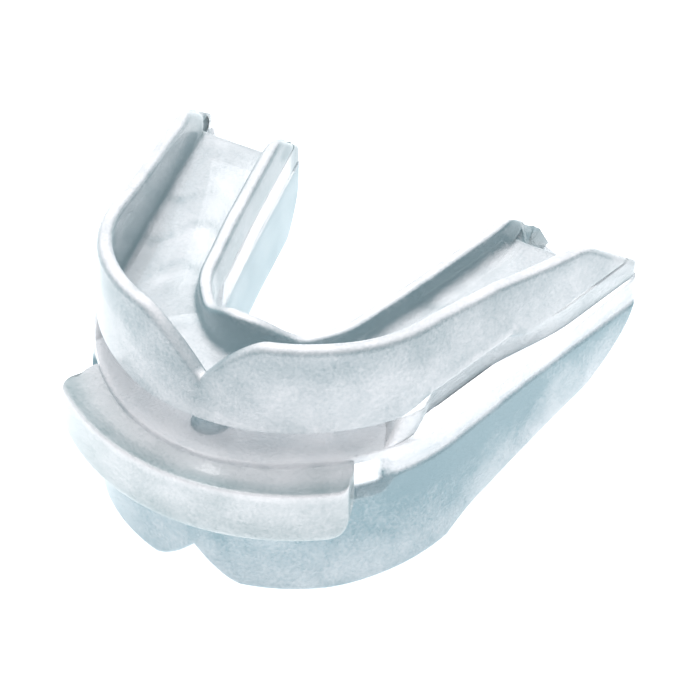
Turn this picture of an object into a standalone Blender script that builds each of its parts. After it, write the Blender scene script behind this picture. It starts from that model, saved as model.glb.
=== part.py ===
"""Double-arch mouthguard: two tooth trays, bite wedges, airway post and lip shield.

Units are metres, +Z up, lips toward -Y, arms toward +Y, symmetric about X = 0.
Heights below are first written against the top of the lower tray's plate
("deck"), in millimetres, and moved to the bottom of the part at the end.
"""
import math

import bmesh
import bpy

MM = 0.001
GAP = 0.15                    # clearance kept between neighbouring pieces

# plan of the arch: a round front and two straight arms
ARCH_RADIUS = 19.4
ARCH_CENTRE_Y = 7.9
ARM_SPLAY = math.radians(12.5)

# overall limits, heights against the deck
LOWEST = 22.4
REAR_Y = 40.6
FRONT_Y = -24.5

REAR_NOTCH = (-6.4, 3.7)      # the notch between the rear wall ends, inner and outer limit

# upper tray
UPPER_BOTTOM = 3.7            # the airway is the space under this height
UPPER_FLOOR = 1.5
UPPER_FLOOR_REAR_Y = 33.6     # the floor stops short of the walls
UPPER_RIM = 17.1
UPPER_FALL = (3.3, 4.0)       # drop of the rim over the near and the far part of an arm
UPPER_INNER_FRONT = 12.0
UPPER_INNER_SIDE = 8.5
UPPER_NOTCH_DEPTH = 8.0
UPPER_NOTCH_HALF = 7.5

# lower tray
LOWER_FLOOR = 1.8
LOWER_RIM = 22.4
LOWER_FALL = (4.0, 5.9)
LOWER_INNER_FRONT = 16.0
LOWER_INNER_REAR = 11.0
LOWER_NOTCH_DEPTH = 5.0
LOWER_NOTCH_HALF = 4.8

# walls
WALL_BASE = 2.7
WALL_RIM = 2.1
INNER_BASE = 2.4
INNER_RIM = 1.9
TIP_RADIUS = 2.2              # rounding of the wall tips at the rear

# side pocket under the upper outer wall, along the arms
POCKET_START = 22.6
POCKET_END = 42.5
POCKET_DEPTH = 2.1
POCKET_RISE = 2.3

# waist that the lip shield is carried in
WAIST_END = 18.9
WAIST_DEPTH = 1.5
WAIST_HEIGHT = 4.6

# lip shield
SHIELD_OUTER = 13.0
SHIELD_TOP = -0.5
SHIELD_BOTTOM = -9.0
SHIELD_END_IN = math.radians(46.5)
SHIELD_END_OUT = math.radians(43.0)
SHIELD_CORNER = 3.5

# bite wedges and post
WEDGE_START = 18.6
WEDGE_LEAN = 1.5
WEDGE_SWEEP = 0.5             # the near face runs back toward the tongue
WEDGE_NOTCH_Y = 34.2
POST_RADIUS = 2.4
POST_FOOT = 0.3
POST_Y = -13.8

# how finely each piece is cut
ARM_STATIONS = 11
FRONT_STATIONS = 18
WEDGE_STATIONS = 22
CORNER_STEPS = 2

ARC_ANGLE = math.pi / 2 - ARM_SPLAY
ARC_LENGTH = ARCH_RADIUS * ARC_ANGLE
SHIFT_Y = -(REAR_Y + FRONT_Y) / 2


def ease(value, start, end):
    """Smooth step from 0 at start to 1 at end."""
    t = min(1.0, max(0.0, (value - start) / (end - start)))
    return t * t * (3.0 - 2.0 * t)


def ramp(value, start, end):
    """Straight ramp from 0 at start to 1 at end, with its first corner softened."""
    t = min(1.0, max(0.0, (value - start) / (end - start)))
    return t * t / 0.2 if t < 0.1 else min(1.0, t - 0.05)


def mix(a, b, t):
    return a + (b - a) * t


def arch_point(s, d):
    """Plan position at signed arc length s and distance d outward from the arch."""
    side = -1.0 if s < 0 else 1.0
    run = abs(s)
    angle = min(run / ARCH_RADIUS, ARC_ANGLE)
    past = max(0.0, run - ARC_LENGTH)
    x = (ARCH_RADIUS + d) * math.sin(angle) + past * math.cos(angle)
    y = ARCH_CENTRE_Y - (ARCH_RADIUS + d) * math.cos(angle) + past * math.sin(angle)
    return side * x, y


def end_run(y, d):
    """Arc length at which the line at distance d reaches the plan position y."""
    base = ARCH_CENTRE_Y - (ARCH_RADIUS + d) * math.cos(ARC_ANGLE)
    return ARC_LENGTH + (y - base) / math.sin(ARC_ANGLE)


def rear_y(z):
    """Rear outline of the part at height z: upright in the middle, raked above and below."""
    if z > 2.0:
        return REAR_Y - 1.2 * (z - 2.0)
    if z < -3.5:
        return REAR_Y - 0.1 * (z + 3.5) ** 2
    return REAR_Y


def place(s, d, z):
    x, y = arch_point(s, d)
    return x * MM, (y + SHIFT_Y) * MM, (z + LOWEST) * MM


def rounded(corners, steps=CORNER_STEPS):
    """Closed outline from (d, z, radius) corners, each corner cut to an arc."""
    out = []
    count = len(corners)
    for i in range(count):
        px, pz = corners[i - 1][:2]
        cx, cz, radius = corners[i]
        if radius == 0:
            out.append((cx, cz))
            continue
        nx, nz = corners[(i + 1) % count][:2]
        ax, az = px - cx, pz - cz
        bx, bz = nx - cx, nz - cz
        la, lb = math.hypot(ax, az), math.hypot(bx, bz)
        ax, az, bx, bz = ax / la, az / la, bx / lb, bz / lb
        half = math.acos(max(-1.0, min(1.0, ax * bx + az * bz))) / 2
        cut = min(radius / math.tan(half), 0.499 * la, 0.499 * lb)
        for k in range(steps + 1):
            t = k / steps
            wa, wb = (1 - t) ** 2, t * t
            out.append((cx + cut * (wa * ax + wb * bx), cz + cut * (wa * az + wb * bz)))
    return out


def outer_offset(run):
    """Distance of the foot of the upper outer wall from the arch line."""
    return mix(6.35, 7.1, ease(run, 10.0, 24.0))


def rim_offset(run):
    """Distance of the upper outer rim from the arch line: it stands in at the incisors."""
    lean = 0.6 * (1 - ease(run, 0.0, 8.0)) + ease(run, 10.0, 28.0) * mix(1.2, 0.5, ease(run, 40.0, 62.0))
    return mix(5.2, 7.1, ease(run, 2.0, 24.0)) - lean


def inner_offset(run):
    return mix(-7.2, -8.8, ease(run, 0.0, 17.0)) + 0.4 * ease(run, 24.0, 42.0)


def arm_fall(run, fall):
    """Loss of wall height along an arm, steeper behind the middle."""
    return fall[0] * ramp(run, 12.0, 42.0) + fall[1] * ramp(run, 42.0, 66.0)


def tip_fall(run):
    """Quarter round that finishes the tip of a wall."""
    past = max(0.0, run - (end_run(REAR_Y, 0.0) - TIP_RADIUS))
    return TIP_RADIUS - math.sqrt(max(0.0, TIP_RADIUS ** 2 - past ** 2))


def notch(run, depth, half):
    if run >= half:
        return 0.0
    return depth * (1.0 - run / half) ** 1.45


def upper_section(s):
    run = abs(s)
    outer = outer_offset(run)
    inner = inner_offset(run)
    top = rim_offset(run)
    foot = outer - WALL_BASE - 0.6 * (1 - ease(run, 10.0, 24.0))
    rim = UPPER_RIM - arm_fall(run, UPPER_FALL) - notch(run, UPPER_NOTCH_DEPTH, UPPER_NOTCH_HALF)
    rim -= 0.6 * tip_fall(run)
    inner_rim = mix(UPPER_INNER_FRONT, UPPER_INNER_SIDE, ease(run, 1.0, 13.0)) - 0.5 * tip_fall(run)
    pocket = ease(run, POCKET_START - 2.5, POCKET_START + 2.5) * (1 - ease(run, POCKET_END - 3.0, POCKET_END))
    under = mix(0.45, POCKET_DEPTH, pocket)
    rise = mix(0.45, POCKET_RISE, pocket)
    floor = UPPER_BOTTOM + UPPER_FLOOR
    return rounded([
        (outer - under, UPPER_BOTTOM, 0.3),
        (outer, UPPER_BOTTOM + rise, 0.4),
        (top, rim, WALL_RIM / 2),
        (top - WALL_RIM, rim, WALL_RIM / 2),
        (foot, floor, 1.4),
        (inner + INNER_BASE, floor, 1.4),
        (inner + 0.3 + INNER_RIM, inner_rim, INNER_RIM / 2),
        (inner + 0.3, inner_rim, INNER_RIM / 2),
        (inner, UPPER_BOTTOM, 0.5),
        (REAR_NOTCH[0] + 0.4, UPPER_BOTTOM, 0),
        (REAR_NOTCH[1], UPPER_BOTTOM, 0),
    ])


def deck_edge(run):
    """Distance of the ledge of the lower tray's plate from the arch line."""
    front = mix(8.1, 7.3, ease(run, 0.0, 14.0))
    return mix(front, 7.9, ease(run, WAIST_END - 1.0, WAIST_END + 7.0)) - 0.8 * ease(run, 46.0, 64.0)


def lower_section(s):
    run = abs(s)
    outer = mix(7.6, 7.0, ease(run, 24.0, 44.0))
    inner = inner_offset(run)
    edge = deck_edge(run)
    waist = 1.0 - ease(run, WAIST_END - 0.6, WAIST_END + 0.9)
    rim = notch(run, LOWER_NOTCH_DEPTH, LOWER_NOTCH_HALF) + arm_fall(run, LOWER_FALL) - LOWER_RIM
    rim += 0.6 * tip_fall(run)
    inner_rim = -mix(LOWER_INNER_FRONT, LOWER_INNER_REAR, ease(run, 6.0, 50.0))
    plate = mix(2.4, 1.3, waist)
    groove = mix(outer - 0.1, edge - WAIST_DEPTH, waist)
    groove_end = -mix(plate + 1.6, plate + WAIST_HEIGHT, waist)
    return rounded([
        (inner, 0.0, 0.5),
        (inner + 0.3, inner_rim, INNER_RIM / 2),
        (inner + 0.3 + INNER_RIM, inner_rim, INNER_RIM / 2),
        (inner + INNER_BASE, -LOWER_FLOOR, 1.4),
        (outer - WALL_BASE - 0.6, -LOWER_FLOOR, 1.4),
        (outer - WALL_RIM, rim, WALL_RIM / 2),
        (outer, rim, WALL_RIM / 2),
        (outer + 0.25, groove_end - 0.7, 0.5),
        (groove, groove_end, 0.4),
        (groove, -plate - 0.3, 0.3),
        (edge, -plate, 0.3),
        (edge, 0.0, 0.35),
    ])


def wedge_section(run):
    """Outline in two matched halves, so that the notched rear can be closed in strips."""
    close = 1 - ease(run, POCKET_END - 8.0, POCKET_END + 8.0)
    top_side = outer_offset(run) - 0.1 - POCKET_DEPTH * close * ease(run, POCKET_START - 1.0, POCKET_START + 1.5)
    foot_side = deck_edge(run) - 0.15
    foot_side = mix(foot_side, top_side - 0.3, ease(run, WEDGE_START + 0.8, WEDGE_START + 4.0))
    inner = inner_offset(run) + 0.5
    top = UPPER_BOTTOM - GAP
    curve = 0.5
    low = [(inner, GAP + curve), (inner + 0.15, GAP + 0.15), (inner + curve, GAP)]
    low += [(REAR_NOTCH[0], GAP), (-1.0, GAP), (REAR_NOTCH[1] - 0.4, GAP), (REAR_NOTCH[1] + 0.4, GAP)]
    low += [(foot_side - curve, GAP), (foot_side - 0.15, GAP + 0.15), (foot_side, GAP + curve)]
    high = [(inner, top - curve), (inner + 0.15, top - 0.15), (inner + curve, top)]
    high += [(REAR_NOTCH[0], top), (-1.0, top), (REAR_NOTCH[1] - 0.4, top), (REAR_NOTCH[1] + 0.4, top)]
    high += [(top_side - curve, top), (top_side - 0.15, top - 0.15), (top_side, top - curve)]
    return low + high[::-1]


def shield_section(angle):
    """Outline of the lip shield at an angle around the front, with its tongue in the waist."""
    end = max(0.0, (abs(angle) - (SHIELD_END_OUT - 0.11)) / 0.11)
    end = min(1.0, end)
    bottom = SHIELD_BOTTOM + SHIELD_CORNER * (1.0 - math.sqrt(1.0 - end * end))
    inner = deck_edge(abs(angle) * ARCH_RADIUS) + GAP
    tongue = inner - WAIST_DEPTH
    middle = (inner + SHIELD_OUTER) / 2
    heel = max(-4.6, bottom + 1.6)
    return rounded([
        (SHIELD_OUTER, SHIELD_TOP, 0.5),
        (middle, SHIELD_TOP - 0.45, 2.0),
        (inner, SHIELD_TOP, 0.4),
        (inner, -2.2, 0.3),
        (tongue, -2.2, 0.3),
        (tongue, heel, 0.3),
        (inner, heel, 0.3),
        (inner + 0.8, heel - 0.9, 0.3),
        (inner + 0.8, bottom, 0.4),
        (SHIELD_OUTER - 0.2, bottom, 1.3),
    ])


def material(name, colour, rough):
    mat = bpy.data.materials.new(name)
    mat.use_nodes = True
    shader = mat.node_tree.nodes["Principled BSDF"]
    shader.inputs["Base Color"].default_value = (*colour, 1.0)
    shader.inputs["Roughness"].default_value = rough
    return mat


def strip_cap(bm, row):
    """Close an outline whose two halves match point for point."""
    count = len(row)
    for k in range(count // 2 - 1):
        bm.faces.new((row[k], row[k + 1], row[count - 2 - k], row[count - 1 - k]))


def flat_cap(bm, row):
    cap = bm.faces.new(row)
    cap.normal_update()
    bmesh.ops.triangulate(bm, faces=[cap])


def loft(name, rings, mat, close=flat_cap):
    """Closed body through a row of equal outlines, capped at both ends."""
    bm = bmesh.new()
    rows = [[bm.verts.new(point) for point in ring] for ring in rings]
    count = len(rows[0])
    for first, second in zip(rows, rows[1:]):
        for k in range(count):
            j = (k + 1) % count
            bm.faces.new((first[k], first[j], second[j], second[k]))
    close(bm, rows[0])
    close(bm, rows[-1])
    bmesh.ops.recalc_face_normals(bm, faces=bm.faces)
    mesh = bpy.data.meshes.new(name)
    bm.to_mesh(mesh)
    bm.free()
    mesh.materials.append(mat)
    obj = bpy.data.objects.new(name, mesh)
    bpy.context.collection.objects.link(obj)
    return obj


def stations(start, end, count):
    return [mix(start, end, i / count) for i in range(count + 1)]


def tray_runs():
    """Arc lengths of the stations from the left end to the right end."""
    full = end_run(REAR_Y, 0.0)
    front = stations(0.0, POCKET_START + 3.0, FRONT_STATIONS)
    arm = stations(POCKET_START + 3.0, full - TIP_RADIUS, ARM_STATIONS)[1:]
    tip = [full - TIP_RADIUS * 0.55, full - TIP_RADIUS * 0.2, full]
    half = front + arm + tip
    return [-run for run in reversed(half[1:])] + half


def tray_ring(section, s):
    """Carry an outline along the arch; toward the rear it takes on the raked outline."""
    full = end_run(REAR_Y, 0.0)
    blend = max(0.0, (abs(s) - ARC_LENGTH) / (full - ARC_LENGTH))
    ring = []
    for d, z in section(s):
        stop = rear_y(z)
        if REAR_NOTCH[0] < d < REAR_NOTCH[1] + 0.9 and UPPER_BOTTOM - 0.1 < z < UPPER_BOTTOM + UPPER_FLOOR + 1.0:
            stop = UPPER_FLOOR_REAR_Y
        run = abs(s) + (end_run(stop, d) - full) * blend
        ring.append(place(math.copysign(run, s), d, z))
    return ring


def build_tray(name, section, mat):
    return loft(name, [tray_ring(section, s) for s in tray_runs()], mat)


def build_wedge(name, side, mat):
    full = end_run(REAR_Y, 0.0)
    rings = []
    for i in range(WEDGE_STATIONS + 1):
        t = i / WEDGE_STATIONS
        t = t * (0.45 + 0.55 * t)
        ring = []
        for d, z in wedge_section(mix(WEDGE_START, full, t)):
            lean = (WEDGE_LEAN * (z / UPPER_BOTTOM) + WEDGE_SWEEP * (7.2 - d)) * (1 - t)
            stop = WEDGE_NOTCH_Y if REAR_NOTCH[0] <= d <= REAR_NOTCH[1] else rear_y(z) - 0.3
            run = mix(WEDGE_START, end_run(stop, d), t) + lean
            ring.append(place(side * run, d, z))
        rings.append(ring)
    return loft(name, rings, mat, strip_cap)


def build_shield(name, mat):
    rings = []
    for i in range(33):
        t = i / 16 - 1.0
        t = math.copysign(1.0 - (1.0 - abs(t)) ** 1.4, t)
        ring = []
        for d, z in shield_section(t * SHIELD_END_OUT):
            share = (SHIELD_OUTER - d) / (SHIELD_OUTER - 7.0)
            end = mix(SHIELD_END_OUT, SHIELD_END_IN, share)
            ring.append(place(t * end * ARCH_RADIUS, d, z))
        rings.append(ring)
    return loft(name, rings, mat)


def build_post(name, mat):
    """Turned post with a flared foot standing in the middle of the airway."""
    top = UPPER_BOTTOM - GAP
    profile = [(POST_RADIUS + POST_FOOT, GAP)]
    for k in range(1, 5):
        turn = k / 4 * math.pi / 2
        radius = POST_RADIUS + POST_FOOT * (1 - math.sin(turn))
        profile.append((radius, GAP + 0.1 + POST_FOOT * (1 - math.cos(turn))))
    profile.append((POST_RADIUS, top - 0.4))
    profile.append((POST_RADIUS + 0.35, top))
    rings = []
    for radius, z in profile:
        ring = []
        for k in range(28):
            turn = 2 * math.pi * k / 28
            x = radius * math.cos(turn) * MM
            y = (POST_Y + SHIFT_Y + radius * math.sin(turn)) * MM
            ring.append((x, y, (z + LOWEST) * MM))
        rings.append(ring)
    return loft(name, rings, mat)


def main():
    for obj in list(bpy.data.objects):
        bpy.data.objects.remove(obj)
    build_tray("upper_tray", upper_section, material("upper_tray_eva", (0.62, 0.70, 0.75), 0.28))
    build_tray("lower_tray", lower_section, material("lower_tray_eva", (0.60, 0.69, 0.74), 0.28))
    build_wedge("bite_wedge_left", -1.0, material("bite_wedge_left_eva", (0.64, 0.71, 0.76), 0.32))
    build_wedge("bite_wedge_right", 1.0, material("bite_wedge_right_eva", (0.64, 0.71, 0.76), 0.32))
    build_post("airway_post", material("airway_post_eva", (0.58, 0.67, 0.72), 0.28))
    build_shield("lip_shield", material("lip_shield_eva", (0.68, 0.74, 0.78), 0.22))


main()
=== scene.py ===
import math

import bmesh
import bpy
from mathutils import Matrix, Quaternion, Vector


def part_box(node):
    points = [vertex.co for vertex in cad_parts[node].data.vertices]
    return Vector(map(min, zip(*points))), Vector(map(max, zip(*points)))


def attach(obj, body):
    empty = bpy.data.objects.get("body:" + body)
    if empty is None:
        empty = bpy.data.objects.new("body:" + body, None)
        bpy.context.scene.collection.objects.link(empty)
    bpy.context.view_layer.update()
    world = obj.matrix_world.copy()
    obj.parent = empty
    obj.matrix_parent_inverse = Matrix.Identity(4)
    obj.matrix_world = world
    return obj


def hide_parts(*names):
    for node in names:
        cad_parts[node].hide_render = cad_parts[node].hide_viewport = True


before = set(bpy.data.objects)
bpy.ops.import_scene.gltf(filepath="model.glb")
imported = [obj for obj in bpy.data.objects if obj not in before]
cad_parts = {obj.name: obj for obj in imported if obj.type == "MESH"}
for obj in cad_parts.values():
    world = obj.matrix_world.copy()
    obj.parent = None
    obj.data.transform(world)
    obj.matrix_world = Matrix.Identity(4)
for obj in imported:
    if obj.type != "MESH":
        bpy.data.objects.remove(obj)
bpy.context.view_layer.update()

mm = 0.001

# the plan of the dental arch, in mm: a round front and two straight arms
arch = {
    "radius": 19.4,
    "centreY": 7.9,
    "armAngle": math.radians(90 - 12.5),
    "rearY": 40.6,
}
arch["frontRun"] = arch["radius"] * arch["armAngle"]
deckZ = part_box("lower_tray")[1].z / mm              # top of the lower tray's plate
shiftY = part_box("lower_tray")[1].y / mm - arch["rearY"]


def ease(value, start, end):
    t = min(1.0, max(0.0, (value - start) / (end - start)))
    return t * t * (3 - 2 * t)


def mix(a, b, t):
    return a + (b - a) * t


def ramp(value, start, end):
    # straight ramp with a softened first corner
    t = min(1.0, max(0.0, (value - start) / (end - start)))
    return t * t / 0.2 if t < 0.1 else min(1.0, t - 0.05)


def archPoint(run, out):
    # plan position at a signed length along the arch and a distance outward from it
    side = -1 if run < 0 else 1
    angle = min(abs(run) / arch["radius"], arch["armAngle"])
    past = max(0.0, abs(run) - arch["frontRun"])
    x = (arch["radius"] + out) * math.sin(angle) + past * math.cos(angle)
    y = arch["centreY"] - (arch["radius"] + out) * math.cos(angle) + past * math.sin(angle)
    return side * x, y


def runToY(y, out):
    # length along the arch at which the line at that distance reaches y
    base = arch["centreY"] - (arch["radius"] + out) * math.cos(arch["armAngle"])
    return arch["frontRun"] + (y - base) / math.sin(arch["armAngle"])


fullRun = runToY(arch["rearY"], 0)


def rearY(z):
    # raked rear outline: upright in the middle, falling forward above and below
    if z > 2.0:
        return arch["rearY"] - 1.2 * (z - 2.0)
    if z < -3.5:
        return arch["rearY"] - 0.1 * (z + 3.5) ** 2
    return arch["rearY"]


def placed(run, out, z):
    x, y = archPoint(run, out)
    return Vector((x, y + shiftY, z + deckZ)) * mm


def roundedOutline(corners, steps=5, between=6):
    # closed outline from (out, z, radius) corners, with points between them to carry the tone
    arcs = []
    for i, (cx, cz, radius) in enumerate(corners):
        if radius == 0:
            arcs.append([Vector((cx, cz))])
            continue
        px, pz = corners[i - 1][:2]
        nx, nz = corners[(i + 1) % len(corners)][:2]
        before, after = Vector((px - cx, pz - cz)), Vector((nx - cx, nz - cz))
        half = before.angle(after) / 2
        cut = min(radius / math.tan(half), 0.499 * before.length, 0.499 * after.length)
        before.normalize()
        after.normalize()
        shares = [k / steps for k in range(steps + 1)]
        arcs.append([Vector((cx, cz)) + cut * ((1 - t) ** 2 * before + t * t * after) for t in shares])
    outline = []
    for i, arc in enumerate(arcs):
        start, end = arc[-1], arcs[(i + 1) % len(arcs)][0]
        outline += arc + [start.lerp(end, k / (between + 1)) for k in range(1, between + 1)]
    return [tuple(point) for point in outline]


def paintMesh(mesh, spots, paint):
    # tone runs from 0, blue-grey, to 1, pale, and carries painted light and shade as well as the body's
    # colour; clear from 0, frosted, to 1, see-through
    tone = mesh.attributes.new("tone", "FLOAT", "POINT")
    clear = mesh.attributes.new("clear", "FLOAT", "POINT")
    for vertex, spot in zip(mesh.vertices, spots):
        tone.data[vertex.index].value, clear.data[vertex.index].value = paint(*spot, vertex.normal)


def capOutline(bm, row, chords):
    # an end is closed in strips between chords, so that a notched end stays notched
    pieces = [row]
    if chords:
        chords = sorted(chords)
        first, last = chords[0], chords[-1]
        pieces = [row[first[1]:] + row[:first[0] + 1], row[last[0]:last[1] + 1]]
        pieces += [row[a:c + 1] + row[d:b + 1] for (a, b), (c, d) in zip(chords, chords[1:])]
    for piece in pieces:
        cap = bm.faces.new(piece)
        cap.normal_update()
        bmesh.ops.triangulate(bm, faces=[cap])


def loftObject(name, rings, paint, chords=()):
    # closed body through a row of equal outlines; each ring point is (place, (run, out, z))
    bm = bmesh.new()
    rows = [[bm.verts.new(place) for place, _ in ring] for ring in rings]
    count = len(rows[0])
    for first, second in zip(rows, rows[1:]):
        for k in range(count):
            j = (k + 1) % count
            bm.faces.new((first[k], first[j], second[j], second[k]))
    for row in (rows[0], rows[-1]):
        capOutline(bm, row, chords)
    bmesh.ops.recalc_face_normals(bm, faces=bm.faces)
    mesh = bpy.data.meshes.new(name)
    bm.to_mesh(mesh)
    bm.free()
    for face in mesh.polygons:
        face.use_smooth = True
    paintMesh(mesh, [spot for ring in rings for _, spot in ring], paint)
    piece = bpy.data.objects.new(name, mesh)
    bpy.context.scene.collection.objects.link(piece)
    return piece


def mouldedEdges(piece, width):
    # the sharp corners left by the cutting are rounded as a mould leaves them
    bevel = piece.modifiers.new("mouldedEdges", "BEVEL")
    bevel.width = width * mm
    bevel.segments = 3
    bevel.limit_method = "ANGLE"
    bevel.angle_limit = math.radians(50)
    bevel.harden_normals = False
    bevel.use_clamp_overlap = True


# what the two trays share, in mm; heights are counted from the top of the lower tray's plate
trays = {
    "wallBase": 2.7, "wallRim": 2.1,
    "innerBase": 2.4, "innerRim": 1.9, "innerLean": 0.3,
    "channelFillet": 1.4,
    "tipRadius": 2.2, "tipLength": 1.5, "tipTaper": 5.0,
    "tipInset": 0.9,                     # the ends are drawn in to a line this far inside a face
    "tipThin": 0.12,                     # share of the thickness that is left at the very end
    "stations": 105, "tipStations": 9, "crowding": 1.6,
    "notchCurve": 1.45,
    "gapTop": 3.7,                       # the breathing gap is the space under this height
    "rearNotch": (-6.4, 3.7),            # the floor is cut back between the wall ends
}


def tipFall(run):
    radius = trays["tipRadius"]
    past = max(0.0, run - (fullRun - radius))
    return radius - math.sqrt(max(0.0, radius ** 2 - past ** 2))


def lipNotch(run, depth, half):
    return depth * (1 - run / half) ** trays["notchCurve"] if run < half else 0.0


def innerOffset(run):
    return mix(-7.2, -8.8, ease(run, 0, 17)) + 0.4 * ease(run, 24, 42)


def armFall(run, fall):
    return fall[0] * ramp(run, 12, 42) + fall[1] * ramp(run, 42, 66)


upper = {
    "floor": 1.5, "floorRearY": 33.6,
    "rim": 17.1, "fall": (3.3, 4.0),
    "innerFront": 12.0, "innerSide": 8.5,
    "notch": (8.0, 7.5),
    "pocket": (22.6, 42.5), "pocketDepth": 2.1, "pocketRise": 2.3,
    "footEdge": 0.45,                    # bevel under the outer wall where there is no pocket
}


def upperOuter(run):
    return mix(6.35, 7.1, ease(run, 10, 24))


def upperTop(run):
    # the rim stands in from the foot of the wall, most at the incisors
    lean = 0.6 * (1 - ease(run, 0, 8)) + ease(run, 10, 28) * mix(1.2, 0.5, ease(run, 40, 62))
    return mix(5.2, 7.1, ease(run, 2, 24)) - lean


def upperSection(run):
    outer, inner = upperOuter(run), innerOffset(run)
    top = upperTop(run)
    foot = outer - trays["wallBase"] - 0.6 * (1 - ease(run, 10, 24))
    rim = upper["rim"] - armFall(run, upper["fall"]) - lipNotch(run, *upper["notch"]) - 0.6 * tipFall(run)
    innerRim = mix(upper["innerFront"], upper["innerSide"], ease(run, 1, 13)) - 0.5 * tipFall(run)
    start, end = upper["pocket"]
    pocket = ease(run, start - 2.5, start + 2.5) * (1 - ease(run, end - 3, end))
    under = mix(upper["footEdge"], upper["pocketDepth"], pocket)
    rise = mix(upper["footEdge"], upper["pocketRise"], pocket)
    low, floor = trays["gapTop"], trays["gapTop"] + upper["floor"]
    return roundedOutline([
        (outer - under, low, 0.3),
        (outer, low + rise, 0.4),
        (top, rim, trays["wallRim"] / 2),
        (top - trays["wallRim"], rim, trays["wallRim"] / 2),
        (foot, floor, trays["channelFillet"]),
        (inner + trays["innerBase"], floor, trays["channelFillet"]),
        (inner + trays["innerLean"] + trays["innerRim"], innerRim, trays["innerRim"] / 2),
        (inner + trays["innerLean"], innerRim, trays["innerRim"] / 2),
        (inner, low, 0.5),
        (trays["rearNotch"][0] + 0.4, low, 0),
        (trays["rearNotch"][1], low, 0),
    ])


lower = {
    "floor": 1.8, "floorRearY": 39.3, "rim": 22.4, "fall": (4.0, 5.9),
    "innerFront": 16.0, "innerRear": 11.0,
    "notch": (5.0, 4.8),
    "waistEnd": 18.9, "waistDepth": 1.5, "waistHeight": 4.6,
    "tipMiddle": 6.1,                    # line that the outer wall's end is drawn in to
}


def deckEdge(run):
    end = lower["waistEnd"]
    return mix(mix(8.1, 7.3, ease(run, 0, 14)), 7.9, ease(run, end - 1, end + 7)) - 0.8 * ease(run, 46, 64)


def lowerSection(run):
    outer = mix(7.6, 7.0, ease(run, 24, 44))
    inner, edge = innerOffset(run), deckEdge(run)
    waist = 1 - ease(run, lower["waistEnd"] - 0.6, lower["waistEnd"] + 0.9)
    rim = lipNotch(run, *lower["notch"]) + armFall(run, lower["fall"]) - lower["rim"] + 0.6 * tipFall(run)
    innerRim = -mix(lower["innerFront"], lower["innerRear"], ease(run, 6, 50))
    plate = mix(2.4, 1.3, waist)
    groove = mix(outer - 0.1, edge - lower["waistDepth"], waist)
    grooveEnd = -mix(plate + 1.6, plate + lower["waistHeight"], waist)
    return roundedOutline([
        (inner, 0.0, 0.5),
        (inner + trays["innerLean"], innerRim, trays["innerRim"] / 2),
        (inner + trays["innerLean"] + trays["innerRim"], innerRim, trays["innerRim"] / 2),
        (inner + trays["innerBase"], -lower["floor"], trays["channelFillet"]),
        (outer - trays["wallBase"] - 0.6, -lower["floor"], trays["channelFillet"]),
        (outer - trays["wallRim"], rim, trays["wallRim"] / 2),
        (outer, rim, trays["wallRim"] / 2),
        (outer + 0.25, grooveEnd - 0.7, 0.5),
        (groove, grooveEnd, 0.4),
        (groove, -plate - 0.3, 0.3),
        (edge, -plate, 0.3),
        (edge, 0.0, 0.35),
    ])


def tipOut(out, middle, left):
    # near its free end a wall is drawn in to a thin edge: quickly on its outer face,
    # and over a longer stretch on the face toward the tooth channel
    channelSide = abs(out) < abs(middle)
    length = trays["tipTaper"] if channelSide else trays["tipLength"]
    past = min(1.0, max(0.0, 1 - left / length))
    return middle + (out - middle) * max(trays["tipThin"], math.sqrt(1 - past ** 2))


def innerMiddle(run):
    return innerOffset(run) + trays["tipInset"]


def roundTip(out, z, run):
    # round noses on the free ends of the walls, and a round edge on the floor's end
    notchIn, notchOut = trays["rearNotch"]
    wall = ease(out, notchOut - 0.3, notchOut + 0.5) + 1 - ease(out, notchIn + 0.7, notchIn + 1.4)
    if z > 0:
        low = trays["gapTop"]
        middleZ = low + upper["floor"] / 2
        inset = trays["tipInset"]
        middleOut = mix(upperOuter(run) - inset, upperTop(run) - inset, ease(z, low, low + 5))
    else:
        middleZ = -lower["floor"] / 2
        wall = max(wall, ease(-z, lower["floor"] + 0.4, lower["floor"] + 2.0))
        middleOut = lower["tipMiddle"]
    if out < 0:
        middleOut = innerMiddle(run)
    wall = min(1.0, wall)
    left = fullRun - run
    past = min(1.0, max(0.0, 1 - left / trays["tipLength"]))
    keep = max(trays["tipThin"], math.sqrt(1 - past ** 2))
    return mix(out, tipOut(out, middleOut, left), wall), mix(middleZ + (z - middleZ) * keep, z, wall)


def wallShare(out):
    # 0 over the part of a floor that is cut back at the rear, 1 under the walls
    notchIn, notchOut = trays["rearNotch"]
    return max(ease(out, notchOut + 0.2, notchOut + 0.8), 1 - ease(out, notchIn + 0.3, notchIn + 0.9))


def trayRing(section, run):
    # toward the rear the stations take on the raked outline
    share = max(0.0, (abs(run) - arch["frontRun"]) / (fullRun - arch["frontRun"]))
    low, floor = trays["gapTop"], trays["gapTop"] + upper["floor"]
    ring = []
    for out, z in section(abs(run)):
        stop = rearY(z)
        if z > low - 0.1:
            onFloor = (1 - wallShare(out)) * (1 - ease(z, floor + 0.2, floor + 0.8))
            stop = mix(stop, upper["floorRearY"], onFloor)
        if -lower["floor"] - 0.35 < z < 0.1:
            stop = mix(stop, lower["floorRearY"], 1 - wallShare(out))
        along = abs(run) + (runToY(stop, out) - fullRun) * share
        ring.append((placed(math.copysign(along, run), *roundTip(out, z, abs(run))), (run, out, z)))
    return ring


def band(value, middle, half):
    # 1 at the middle of a band, fading to 0 at its edges
    return 1 - ease(abs(value - middle), 0, half)


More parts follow.
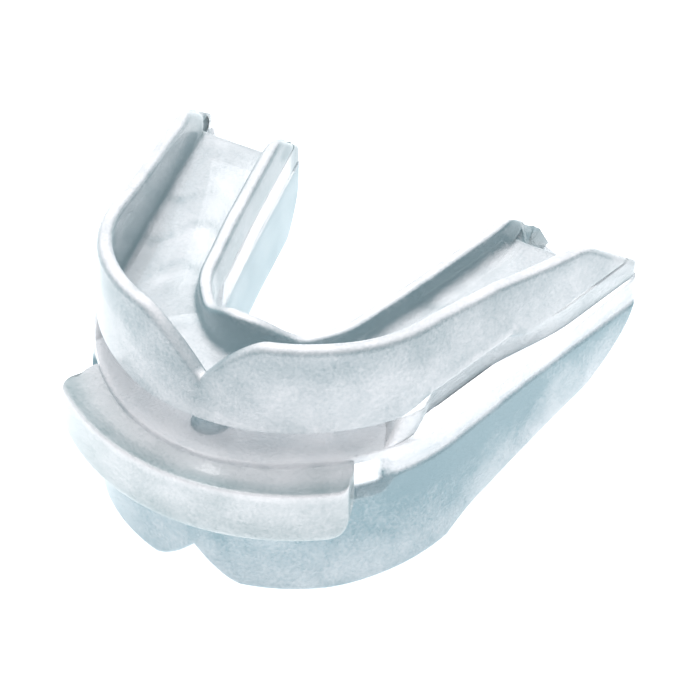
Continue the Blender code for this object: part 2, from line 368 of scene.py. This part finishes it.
wedge = {
    "start": 18.6, "lean": 1.5, "sweep": 0.5,
    "notchY": 34.2,
    "overlap": 0.02,                     # how far it reaches into the trays it is moulded to
    "rows": 11, "stations": 50, "crowding": 1.2, "tipStations": 7, "tipCrowding": 1.6,
    # the front is painted white: painted light standing in for light that comes through the clear body under
    # the upper tray
    "tones": {"side": 0.62, "front": 1.0, "tongueSide": 1.0, "heel": 0.18}, "clear": 0.10,
}

# tones of the upper tray's faces; a pair runs from the foot of a wall to its rim; most are painted light and
# shade, pale where light falls and darker in channels and recesses
upperTones = {
    "face": (0.62, 0.48),
    "lipShade": 0.22,                    # grey band under the rim, beside the notch
    # painted shade in the side pocket under the wall, and a painted highlight along the crease over it
    "pocket": 0.15, "creaseHighlight": 1.0,
    "cheekSide": (0.10, 0.45),           # channel side of the outer wall: painted shade, darkest at its foot
    "innerSide": (0.0, 0.10),            # channel side of the inner wall: deep painted shade
    "tongueSide": 0.42,
    "floor": 0.80, "wrinkle": 0.22, "floorClear": 0.12,
    # painted shade on the rim's outer shoulder and a painted highlight along the rim's top
    "shoulderShade": 0.15, "rim": 1.0,
    "heel": (0.22, 0.10),                # foot of the wall ends beside the rear notch
}

lowerTones = {
    # face: painted shade on the outer wall, darkest just under the ledge, lighter toward the bottom and the
    # rear
    "face": (0.05, 0.45), "rearGain": 0.40,
    "channel": 0.9, "channelClear": 0.85,
    # painted light: the ledge, the plate and its edge are pale to white where light falls from above
    "ledge": 0.8, "plate": 0.95, "edge": 1.0,
    "tongueSide": 0.05, "tongueEdge": 0.9,
}


def tongueFace(run, out, start, end):
    # 1 on the tongue side of an inner wall, fading to 0 over its thickness
    return 1 - ease(out, innerOffset(run) + start, innerOffset(run) + end)


def upperFront(run, z, rim):
    low, tones = trays["gapTop"], upperTones
    tone = mix(*tones["face"], ease(z, low + 4, rim - 1))
    tone -= tones["lipShade"] * band(z, rim - 3.4, 2.2) * band(run, 13, 11)
    # painted shade in the side pocket, and a painted highlight along the crease above it
    pocket = ease(run, 21, 25) * (1 - ease(run, 39, 44)) * (1 - ease(z, low + 2.0, low + 3.2))
    creaseHighlight = ease(run, 20, 23) * (1 - ease(run, 43, 48)) * band(z, low + upper["pocketRise"] + 0.1, 0.3)
    return mix(mix(tone, tones["pocket"], 0.8 * pocket), tones["creaseHighlight"], 0.8 * creaseHighlight)


def upperFloor(run, out):
    # faint wrinkles cross the floor of the arms
    wrinkle = max(0.0, math.sin(0.55 * run + 0.35 * out + 1.2 * math.sin(0.7 * out))) ** 4
    wrinkle *= ease(run, 20, 28) * (1 - ease(run, 44, 50))
    return upperTones["floor"] - upperTones["wrinkle"] * wrinkle


def upperPaint(run, out, z, normal):
    run, flat, tones = abs(run), abs(normal.z) ** 2, upperTones
    low, floor = trays["gapTop"], trays["gapTop"] + upper["floor"]
    foot = 1 - ease(z, floor + 0.2, floor + 1.6)
    rim = upper["rim"] - armFall(run, upper["fall"]) - lipNotch(run, *upper["notch"])
    wall = mix(upperOuter(run) - 1.3, upperTop(run) - 1.05, ease(z, floor, rim))
    outside = ease(out, wall - 0.4, wall + 0.4)
    channelSide = mix(*tones["innerSide"], ease(z, floor + 1, 11))
    if out > 0:
        channelSide = mix(*tones["cheekSide"], ease(z, floor + 1, rim - 2))
    tone = mix(channelSide, tones["tongueSide"], tongueFace(run, out, 0.9, 1.7))
    tone = mix(tone, upperFront(run, z, rim), outside)
    # up-facing floor is painted pale: painted light from above and from the white table seen through it
    tone = mix(tone, upperFloor(run, out), foot * flat)
    # painted highlight on the rim's top, and a band of painted shade on its shoulder
    rimHighlight = ease(normal.z, 0.68, 0.95) * (1 - foot)
    shoulderShade = band(normal.z, 0.35, 0.33) * (1 - foot)
    tone = mix(mix(tone, tones["shoulderShade"], shoulderShade * 0.6), tones["rim"], rimHighlight)
    heel = ease(run, fullRun - 6, fullRun - 4) * wallShare(out) * (1 - outside) * (1 - rimHighlight)
    if normal.z < -0.5 and z < low + 0.3 and heel < 0.1:
        return 1.0, 1.0
    tone = mix(tone, mix(*tones["heel"], ease(z, low, floor)), heel * foot)
    return tone, tones["floorClear"] * flat * foot * (1 - heel)


def lowerPaint(run, out, z, normal):
    run, flat, tones = abs(run), abs(normal.z) ** 2, lowerTones
    if normal.z < -0.5 and z > -lower["floor"] - 0.3:
        return 1.0, 1.0
    outside = ease(out, 5.6, 6.4)
    tongueSide = tongueFace(run, out, 0.9, 1.7)
    # painted shade under the ledge, fading lighter toward the bottom and the rear
    face = mix(*tones["face"], ease(-z, 6, 20)) + tones["rearGain"] * ease(run, 30, 62) * ease(-z, 3, 9)
    tone = mix(mix(tones["channel"], 0.0, tongueSide), face, outside)
    # painted light on the ledge, the plate and its top edge, pale to white
    tone = mix(tone, tones["ledge"], ease(z, -4.6, -3.9))
    plate = ease(z, -2.7, -1.7)
    tone = mix(mix(tone, tones["plate"], plate), tones["edge"], ease(z, -1.2, -0.1))
    tone = mix(tone, mix(tones["tongueSide"], tones["tongueEdge"], ease(z, -0.7, -0.1)), tongueSide)
    inside = (1 - outside) * (1 - tongueSide)
    covered = ease(run, wedge["start"] + 2, wedge["start"] + 5) * plate * flat
    return tone, max(tones["channelClear"] * inside * (1 - plate), covered)


def floorChords(section, levels):
    # index pairs that join the two faces of a tray's floor, from one wall to the other
    notchIn, notchOut = trays["rearNotch"]
    rows = []
    for level in levels:
        row = [k for k, (out, z) in enumerate(section)
               if abs(z - level) < 0.01 and notchIn + 0.7 < out < notchOut + 0.5]
        rows.append(sorted(row, key=lambda k: section[k][0]))
    count = min(len(row) for row in rows)
    picked = [[row[round(k * (len(row) - 1) / (count - 1))] for k in range(count)] for row in rows]
    return [tuple(sorted(pair)) for pair in zip(*picked)]


def buildTray(name, section, paint, levels):
    # even stations along the arch, crowded toward the free end where it is rounded
    tip, count, close = fullRun - trays["tipRadius"], trays["stations"], trays["tipStations"]
    half = [tip * k / count for k in range(count + 1)]
    half += [tip + trays["tipRadius"] * (1 - (1 - k / close) ** trays["crowding"])
             for k in range(1, close + 1)]
    runs = [-run for run in reversed(half[1:])] + half
    chords = floorChords(section(fullRun), levels)
    return loftObject(name, [trayRing(section, run) for run in runs], paint, chords)


print("trays")
upperTray = buildTray("upper_tray_shell", upperSection, upperPaint,
                      (trays["gapTop"], trays["gapTop"] + upper["floor"]))
lowerTray = buildTray("lower_tray_shell", lowerSection, lowerPaint, (0, -lower["floor"]))


def wedgeSection(run):
    start, end = upper["pocket"]
    close = 1 - ease(run, end - 8, end + 8)
    topSide = upperOuter(run) - 0.1 - upper["pocketDepth"] * close * ease(run, start - 1, start + 1.5)
    footSide = mix(deckEdge(run) - 0.15, topSide - 0.3, ease(run, wedge["start"] + 0.8, wedge["start"] + 4))
    inner = innerOffset(run) + 0.15
    low, top = -wedge["overlap"], trays["gapTop"] + wedge["overlap"]
    notchIn, notchOut = trays["rearNotch"]
    rows = []
    for k in range(wedge["rows"]):
        share = k / (wedge["rows"] - 1)
        side = mix(footSide, topSide, share)
        outs = [inner, inner + 0.6, notchIn, notchIn + 1.0, -1.0, notchOut, notchOut + 1.0, side - 0.6, side]
        rows.append([(out, mix(low, top, share)) for out in outs])
    tongueSide = [row[0] for row in rows[1:-1]]
    cheekSide = [row[-1] for row in rows[1:-1]]
    return rows[0] + cheekSide + rows[-1][::-1] + tongueSide[::-1]


def wedgePaint(run, out, z, normal):
    run, tones = abs(run), wedge["tones"]
    # painted light: the front is painted white
    front = 1 - ease(run, wedge["start"] + 1, wedge["start"] + 6)
    heel = ease(run, fullRun - 8, fullRun - 4) * (1 - ease(out, -6.2, -4.6))
    tone = mix(mix(tones["side"], tones["front"], front), tones["tongueSide"], tongueFace(run, out, 0.2, 0.5))
    return mix(tone, tones["heel"], heel), max(wedge["clear"] * (1 - front), abs(normal.z) ** 4) * (1 - heel)


def buildWedge(name, side):
    notchIn, notchOut = trays["rearNotch"]
    length, count, close = fullRun - wedge["start"], wedge["stations"], wedge["tipStations"]
    shares = [1 - (1 - k / count) ** wedge["crowding"] for k in range(count - 1)]
    shares += [1 - trays["tipLength"] * (1 - k / close) ** wedge["tipCrowding"] / length
               for k in range(1, close + 1)]
    rings = []
    for t in sorted(shares):
        ring = []
        for out, z in wedgeSection(mix(wedge["start"], fullRun, t)):
            lean = (wedge["lean"] * z / trays["gapTop"] + wedge["sweep"] * (7.2 - out)) * (1 - t)
            stop = mix(wedge["notchY"], rearY(z), wallShare(out))
            run = mix(wedge["start"], runToY(stop, out), t) + lean
            drawn = out
            if out > notchOut:
                drawn = tipOut(out, lower["tipMiddle"], (1 - t) * length)
            if out < notchIn:
                drawn = tipOut(out, innerMiddle(run), (1 - t) * length)
            ring.append((placed(side * run, drawn, z), (run, out, z)))
        rings.append(ring)
    # the rear end is closed in strips that join the underside to the top
    columns = len(rings[0]) // 2 - wedge["rows"] + 2
    opposite = 2 * columns + wedge["rows"] - 3
    chords = [(k, opposite - k) for k in range(1, columns - 1)]
    return loftObject(name, rings, wedgePaint, chords)


print("bite wedges")
wedgeLeft = buildWedge("bite_wedge_left_pad", -1)
wedgeRight = buildWedge("bite_wedge_right_pad", 1)


post = {
    "radius": 2.4, "foot": 0.3, "head": 0.5, "y": -13.8,
    "ring": 3.6, "ringHeight": 0.12,     # thin disc that the post stands on
    "footSteps": 8, "headSteps": 5, "sides": 72,
    "tone": (0.30, 1.0), "clear": (0.2, 0.9),
}


def postPaint(x, y, z, normal):
    disc = ease(math.hypot(x, y - post["y"]), post["radius"] + 0.1, post["radius"] + 0.4)
    return mix(*post["tone"], disc), mix(*post["clear"], disc)


def buildPost(name):
    top = trays["gapTop"] + wedge["overlap"]
    ring, lift = post["ring"], post["ringHeight"]
    profile = [(ring, -wedge["overlap"]), (ring, lift * 0.6), (ring - 0.08, lift), (ring - 0.2, lift)]
    radius, foot, head = post["radius"], post["foot"], post["head"]
    for k in range(post["footSteps"] + 1):
        turn = k / post["footSteps"] * math.pi / 2
        profile.append((radius + foot * (1 - math.sin(turn)), lift + foot * (1 - math.cos(turn))))
    for k in range(1, post["headSteps"] + 1):
        turn = k / post["headSteps"] * math.pi / 2
        profile.append((radius + head * (1 - math.cos(turn)), top - head + head * math.sin(turn)))
    rings = []
    for radius, z in profile:
        ring = []
        for k in range(post["sides"]):
            turn = 2 * math.pi * k / post["sides"]
            x, y = radius * math.cos(turn), post["y"] + radius * math.sin(turn)
            ring.append((Vector((x, y + shiftY, z + deckZ)) * mm, (x, y, z)))
        rings.append(ring)
    return loftObject(name, rings, postPaint)


print("airway post")
airwayPost = buildPost("airway_post_column")


shield = {
    "outer": 13.0, "top": -0.5, "bottom": -9.0, "dish": 0.45,
    "endIn": math.radians(46.5), "endOut": math.radians(43),
    "corner": 3.5, "cornerTurn": 0.11,   # the lower corner at each end, and the angle it takes up
    "nose": 2.0,                         # rounding of the outer corner in plan
    "tongueTop": -1.6, "tongueLow": -4.6, "tongueLift": 1.6, "tongueRoom": 0.04,
    "stations": 60, "crowding": 1.7,
    # topSide darkens toward the front as a painted shadow of the lip; topEdge and the lip's white line are a
    # painted highlight; the face is darker toward the bottom
    "face": (0.46, 0.60), "topSide": (0.80, 0.34), "topEdge": 0.25, "clear": 0.02,
}


def shieldSection(angle):
    end = min(1.0, max(0.0, 1 + (abs(angle) - shield["endOut"]) / shield["cornerTurn"]))
    bottom = shield["bottom"] + shield["corner"] * (1 - math.sqrt(1 - end * end))
    inner = deckEdge(abs(angle) * arch["radius"]) + 0.02
    tongue = inner - lower["waistDepth"] - shield["tongueRoom"]
    middle = (inner + shield["outer"]) / 2
    heel = max(shield["tongueLow"], bottom + shield["tongueLift"])
    return roundedOutline([
        (shield["outer"], shield["top"], 0.5),
        (middle, shield["top"] - shield["dish"], 2.0),
        (inner, shield["top"], 0.4),
        (inner, shield["tongueTop"], 0.3),
        (tongue, shield["tongueTop"], 0.3),
        (tongue, heel, 0.3),
        (inner, heel, 0.3),
        (inner + 0.8, heel - 0.9, 0.3),
        (inner + 0.8, bottom, 0.4),
        (shield["outer"] - 0.2, bottom, 1.3),
    ])


def shieldPaint(run, out, z, normal):
    flat = max(0.0, normal.z) ** 2
    face = mix(*shield["face"], ease(z, -7.5, -3.0))
    # painted shadow of the front lip across the top, with a painted highlight just inside the lip
    topSide = mix(*shield["topSide"], ease(out, 8.4, 12.3)) + shield["topEdge"] * ease(out, 12.3, 12.7)
    # painted highlight along the top of the front lip
    rim = band(out, 12.9, 0.25) * ease(z, -1.5, -0.9)
    return mix(mix(face, topSide, flat), 1.0, rim), shield["clear"]


def buildShield(name):
    rings = []
    for k in range(2 * shield["stations"] + 1):
        t = k / shield["stations"] - 1
        t = math.copysign(1 - (1 - abs(t)) ** shield["crowding"], t)
        ring = []
        for out, z in shieldSection(t * shield["endOut"]):
            share = (shield["outer"] - out) / (shield["outer"] - 7.0)
            end = mix(shield["endOut"], shield["endIn"], share)
            run = t * end * arch["radius"]
            left = (1 - abs(t)) * end * (arch["radius"] + out)
            past = min(1.0, max(0.0, 1 - left / shield["nose"]))
            drawn = shield["nose"] * (1 - math.sqrt(1 - past ** 2)) * ease(out, 8.5, shield["outer"])
            ring.append((placed(run, out - drawn, z), (run, out, z)))
        rings.append(ring)
    piece = loftObject(name, rings, shieldPaint)
    mouldedEdges(piece, 0.5)
    return piece


print("lip shield")
lipShield = buildShield("lip_shield_bar")


def linear(hexColour):
    channels = [int(hexColour[i:i + 2], 16) / 255 for i in (1, 3, 5)]
    return (*[c / 12.92 if c <= 0.04045 else ((c + 0.055) / 1.055) ** 2.4 for c in channels], 1.0)


def node(tree, kind, links=None, inputs=None, **settings):
    # adds a node with its settings, socket values and incoming links
    made = tree.nodes.new(kind)
    for key, value in settings.items():
        setattr(made, key, value)
    for key, value in (inputs or {}).items():
        made.inputs[key].default_value = value
    for key, source in (links or {}).items():
        tree.links.new(source, made.inputs[key])
    return made


# frosted ethylene vinyl acetate, injection moulded in a lightly grained mould:
# a watery body, tinted from blue-grey to pale by the tone, which holds painted light and shade as well as its
# colour
clearEva = {
    "pale": "#F6F5F7", "deep": "#7F9CA5",
    "ior": 1.45, "specular": 0.35, "coat": 0.25, "coatRough": 0.10,
    "frostedAlpha": 0.92, "clearAlpha": 0.03, "edgeAlpha": 0.20,
    "edgeBlend": 0.30, "edgeTone": 0.45,  # more material is looked through at a slant
    "rough": (0.20, 0.34),
    "paintedGlow": 0.16,                # painted glow: the body emits its own tint, standing in for light that the clear body brings in from the white table
    "grainMm": 0.40, "grainBump": 0.012, "grainTone": 0.60,
    "flowMm": 6.0, "flowTone": 0.60,
}


def evaMaterial(name, values):
    material = bpy.data.materials.new(name)
    material.use_nodes = True
    tree = material.node_tree
    tree.nodes.clear()
    place = node(tree, "ShaderNodeTexCoord").outputs["Object"]
    tone = node(tree, "ShaderNodeAttribute", attribute_name="tone").outputs["Fac"]
    clear = node(tree, "ShaderNodeAttribute", attribute_name="clear").outputs["Fac"]
    grain = node(tree, "ShaderNodeTexNoise", {"Vector": place},
                 {"Scale": 1 / (values["grainMm"] * mm), "Detail": 2.0})
    flow = node(tree, "ShaderNodeTexNoise", {"Vector": place},
                {"Scale": 1 / (values["flowMm"] * mm), "Detail": 3.0, "Roughness": 0.45, "Distortion": 0.6})
    flowed = node(tree, "ShaderNodeMath", {0: flow.outputs["Fac"], 2: tone},
                  {1: values["flowTone"]}, operation="MULTIPLY_ADD")
    grained = node(tree, "ShaderNodeMath", {0: grain.outputs["Fac"], 2: flowed.outputs[0]},
                   {1: values["grainTone"]}, operation="MULTIPLY_ADD")
    centred = node(tree, "ShaderNodeMath", {0: grained.outputs[0]},
                   {1: (values["flowTone"] + values["grainTone"]) / 2}, operation="SUBTRACT")
    edge = node(tree, "ShaderNodeLayerWeight", inputs={"Blend": values["edgeBlend"]})
    rimmed = node(tree, "ShaderNodeMath", {0: edge.outputs["Facing"], 2: centred.outputs[0]},
                  {1: -values["edgeTone"]}, operation="MULTIPLY_ADD", use_clamp=True)
    tint = node(tree, "ShaderNodeMix", {"Factor": rimmed.outputs[0]}, data_type="RGBA")
    tint.inputs["A"].default_value = linear(values["deep"])
    tint.inputs["B"].default_value = linear(values["pale"])
    smooth, dull = values["rough"]
    rough = node(tree, "ShaderNodeMapRange", {"Value": flow.outputs["Fac"]},
                 {"From Min": 0.3, "From Max": 0.7, "To Min": smooth, "To Max": dull})
    body = node(tree, "ShaderNodeMapRange", {"Value": clear},
                {"To Min": values["frostedAlpha"], "To Max": values["clearAlpha"]})
    opacity = node(tree, "ShaderNodeMath", {0: edge.outputs["Facing"], 2: body.outputs["Result"]},
                   {1: values["edgeAlpha"]}, operation="MULTIPLY_ADD", use_clamp=True)
    bump = node(tree, "ShaderNodeBump", {"Height": grain.outputs["Fac"]},
                {"Strength": 1.0, "Distance": values["grainBump"] * mm})
    # the emission is a painted glow of the body's own tint
    shader = node(tree, "ShaderNodeBsdfPrincipled",
                  {"Base Color": tint.outputs["Result"], "Roughness": rough.outputs["Result"],
                   "Emission Color": tint.outputs["Result"],
                   "Alpha": opacity.outputs[0], "Normal": bump.outputs["Normal"]},
                  {"IOR": values["ior"], "Specular IOR Level": values["specular"],
                   "Coat Weight": values["coat"], "Coat Roughness": values["coatRough"],
                   "Emission Strength": values["paintedGlow"]})
    node(tree, "ShaderNodeOutputMaterial", {"Surface": shader.outputs["BSDF"]})
    return material


print("materials")
finishes = {
    "upper_tray": (upperTray, {"deep": "#84999F"}),
    "lower_tray": (lowerTray, {}),
    "bite_wedge_left": (wedgeLeft, {"deep": "#84999F"}),
    "bite_wedge_right": (wedgeRight, {"deep": "#84999F"}),
    "airway_post": (airwayPost, {}),
    "lip_shield": (lipShield, {"deep": "#8C9FA2"}),
}
for slotName, (piece, changes) in finishes.items():
    piece.data.materials.append(evaMaterial("frostedEva_" + slotName, {**clearEva, **changes}))
    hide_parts(slotName)
    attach(piece, "root")


# metres and watts; the view turns about the target
studio = {
    "floorColour": "#FAFBFC", "floorGlow": 0.9, "floorRough": 0.9, "floorReach": 3.0, "floorDrop": 0.0004,
    "skyColour": "#B9BEC4", "skyStrength": 0.64,
    "keyPower": 3.5, "rimPower": 1.5,
    "target": (0.01055, -0.00436, 0.0261),
    "azimuth": 29.99, "elevation": 40.13, "roll": -0.18, "distance": 0.450, "lens": 178.44,
}

print("studio")
reach = studio["floorReach"]
corners = [(-reach, -reach, 0), (reach, -reach, 0), (reach, reach, 0), (-reach, reach, 0)]
floorMesh = bpy.data.meshes.new("studioFloor")
floorMesh.from_pydata(corners, [], [(0, 1, 2, 3)])
floor = bpy.data.objects.new("studioFloor", floorMesh)
floor.location.z = -studio["floorDrop"]
bpy.context.scene.collection.objects.link(floor)
floorMaterial = bpy.data.materials.new("paleSeamlessPaper")
floorMaterial.use_nodes = True
floorShader = floorMaterial.node_tree.nodes["Principled BSDF"]
floorShader.inputs["Base Color"].default_value = linear(studio["floorColour"])
floorShader.inputs["Roughness"].default_value = studio["floorRough"]
floorShader.inputs["Emission Color"].default_value = linear(studio["floorColour"])
floorShader.inputs["Emission Strength"].default_value = studio["floorGlow"]
floorMesh.materials.append(floorMaterial)

world = bpy.data.worlds.new("studioWorld")
bpy.context.scene.world = world
world.use_nodes = True
world.node_tree.nodes["Background"].inputs["Color"].default_value = linear(studio["skyColour"])
world.node_tree.nodes["Background"].inputs["Strength"].default_value = studio["skyStrength"]

target = Vector(studio["target"])


def softbox(name, place, size, power):
    data = bpy.data.lights.new(name, "AREA")
    data.shape = "RECTANGLE"
    data.size, data.size_y = size
    data.energy = power
    lamp = bpy.data.objects.new(name, data)
    lamp.location = target + Vector(place)
    lamp.rotation_mode = "QUATERNION"
    lamp.rotation_quaternion = (-Vector(place)).to_track_quat("-Z", "Y")
    bpy.context.scene.collection.objects.link(lamp)


softbox("keyLight", (-0.15, 0.10, 0.70), (0.90, 0.90), studio["keyPower"])
softbox("rimLight", (-0.18, 0.26, 0.52), (0.22, 0.22), studio["rimPower"])

cameraData = bpy.data.cameras.new("studioCamera")
cameraData.lens = studio["lens"]
cameraData.sensor_width = 36.0
cameraData.clip_start, cameraData.clip_end = 0.01, 20.0
camera = bpy.data.objects.new("studioCamera", cameraData)
azimuth, elevation = math.radians(studio["azimuth"]), math.radians(studio["elevation"])
level = math.cos(elevation)
back = Vector((math.sin(azimuth) * level, -math.cos(azimuth) * level, math.sin(elevation)))
camera.location = target + back * studio["distance"]
camera.rotation_mode = "QUATERNION"
roll = Quaternion((0, 0, 1), math.radians(studio["roll"]))
camera.rotation_quaternion = (-back).to_track_quat("-Z", "Y") @ roll
bpy.context.scene.collection.objects.link(camera)
bpy.context.scene.camera = camera
bpy.context.scene.view_settings.view_transform = "Standard"
bpy.context.scene.cycles.transparent_max_bounces = 32      # many clear walls stand behind each other
bpy.context.scene.cycles.denoising_input_passes = "RGB"

print("done")
